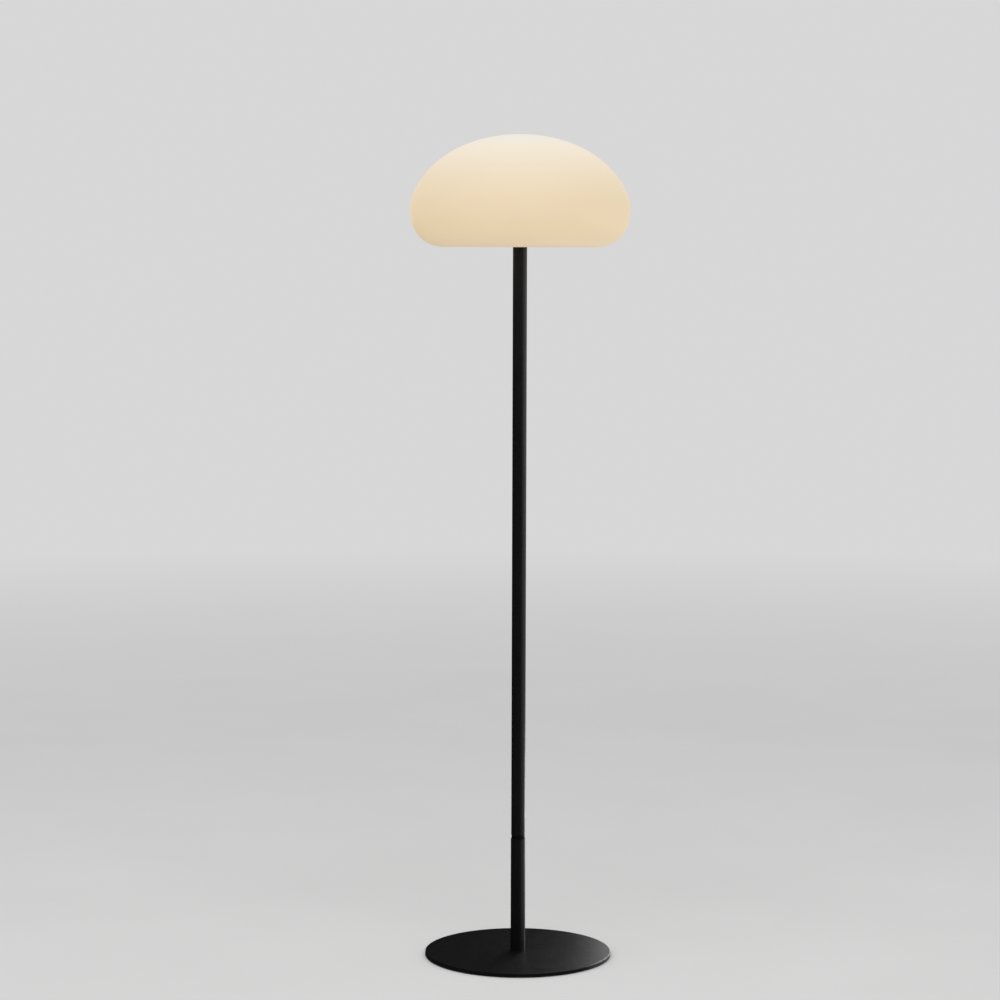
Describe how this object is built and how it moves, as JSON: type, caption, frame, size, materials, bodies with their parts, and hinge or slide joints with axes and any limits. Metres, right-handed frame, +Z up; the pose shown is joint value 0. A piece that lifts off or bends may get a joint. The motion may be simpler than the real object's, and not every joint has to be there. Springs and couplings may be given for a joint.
{
  "type": "mushroom floor lamp",
  "caption": "Cordless floor lamp with a flat round base, a slim straight stem and a domed opal shade lit from inside by a screwed-in battery light module.",
  "frame": {"origin": "on the floor, in the middle of the round base", "axes": "+Z up along the stem; -Y is the side of the button and the charging port, the picture's front"},
  "size_m": [0.3399, 0.34, 1.285],
  "materials": {
    "black_powder_coat": "fine-textured satin powder coat",
    "pad_rubber": "closed-cell foam rubber",
    "black_nylon": "matte turned nylon",
    "zinc_steel": "zinc-plated steel",
    "black_steel": "black oxide steel",
    "opal_shade": "satin opal polyethylene, lit from inside",
    "module_plastic": "fine-textured off-white moulded plastic",
    "black_anodised": "turned and black anodised",
    "seal_rubber": "matte black seal rubber",
    "brass_insert": "knurled brass",
    "bare_aluminium": "stamped sheet",
    "white_board": "white solder mask",
    "green_board": "green solder mask",
    "led_phosphor": "phosphor-coated chip",
    "opal_diffuser": "satin opal polycarbonate",
    "component_black": "moulded electronic parts",
    "connector_white": "moulded nylon connector",
    "cell_wrap": "shrink-wrapped cell",
    "tray_plastic": "moulded black plastic",
    "nickel": "nickel strip",
    "red_lead": "silicone-insulated wire",
    "white_lead": "silicone-insulated wire",
    "button_plastic": "fine-textured grey plastic",
    "hatch_plastic": "fine-textured off-white plastic"
  },
  "bodies": {
    "lamp": {"base_plate": "black_powder_coat", "base_pad": "pad_rubber", "base_bolt": "black_steel", "lower_tube": "black_powder_coat", "lower_foot_plug": "zinc_steel", "lower_head_plug": "zinc_steel", "joint_collar": "black_nylon", "joint_stud": "zinc_steel", "stem_tube": "black_powder_coat", "stem_bottom_plug": "zinc_steel", "stem_top_plug": "zinc_steel", "head_stud": "zinc_steel", "socket_washer": "seal_rubber", "stem_socket": "black_anodised", "socket_screws": "zinc_steel", "shade": "opal_shade", "shade_inserts": "brass_insert", "shade_gasket": "seal_rubber", "module_housing": "module_plastic", "flange_screws": "zinc_steel", "bottom_cover": "module_plastic", "cover_screws": "zinc_steel", "hatch_pin": "zinc_steel", "usb_socket": "nickel", "tact_switch": "component_black", "control_board": "green_board", "board_screws": "zinc_steel", "board_parts": "component_black", "battery_cells": "cell_wrap", "battery_tray": "tray_plastic", "battery_contacts": "nickel", "tray_screws": "zinc_steel", "heat_sink": "bare_aluminium", "led_board": "white_board", "led_screws": "zinc_steel", "led_chips": "led_phosphor", "led_plug": "connector_white", "led_diffuser": "opal_diffuser", "diffuser_gasket": "seal_rubber", "diffuser_screws": "zinc_steel", "lead_grommet": "seal_rubber", "led_leads": "white_lead", "battery_leads": "red_lead"},
    "button": {"power_button": "button_plastic", "switch_plunger": "component_black"},
    "hatch": {"port_hatch": "hatch_plastic"}
  },
  "joints": [
    {"name": "power_button_press", "type": "slide", "parent": "lamp", "child": "button", "axis": [0, 0, 1], "range_m": [0, 0.001], "stiffness_N_per_m": 800, "springref_m": -0.0004},
    {"name": "port_hatch_hinge", "type": "hinge", "parent": "lamp", "child": "hatch", "pos_m": [0, -0.05505, 1.114], "axis": [-1, 0, 0], "range_deg": [0, 90]}
  ]
}
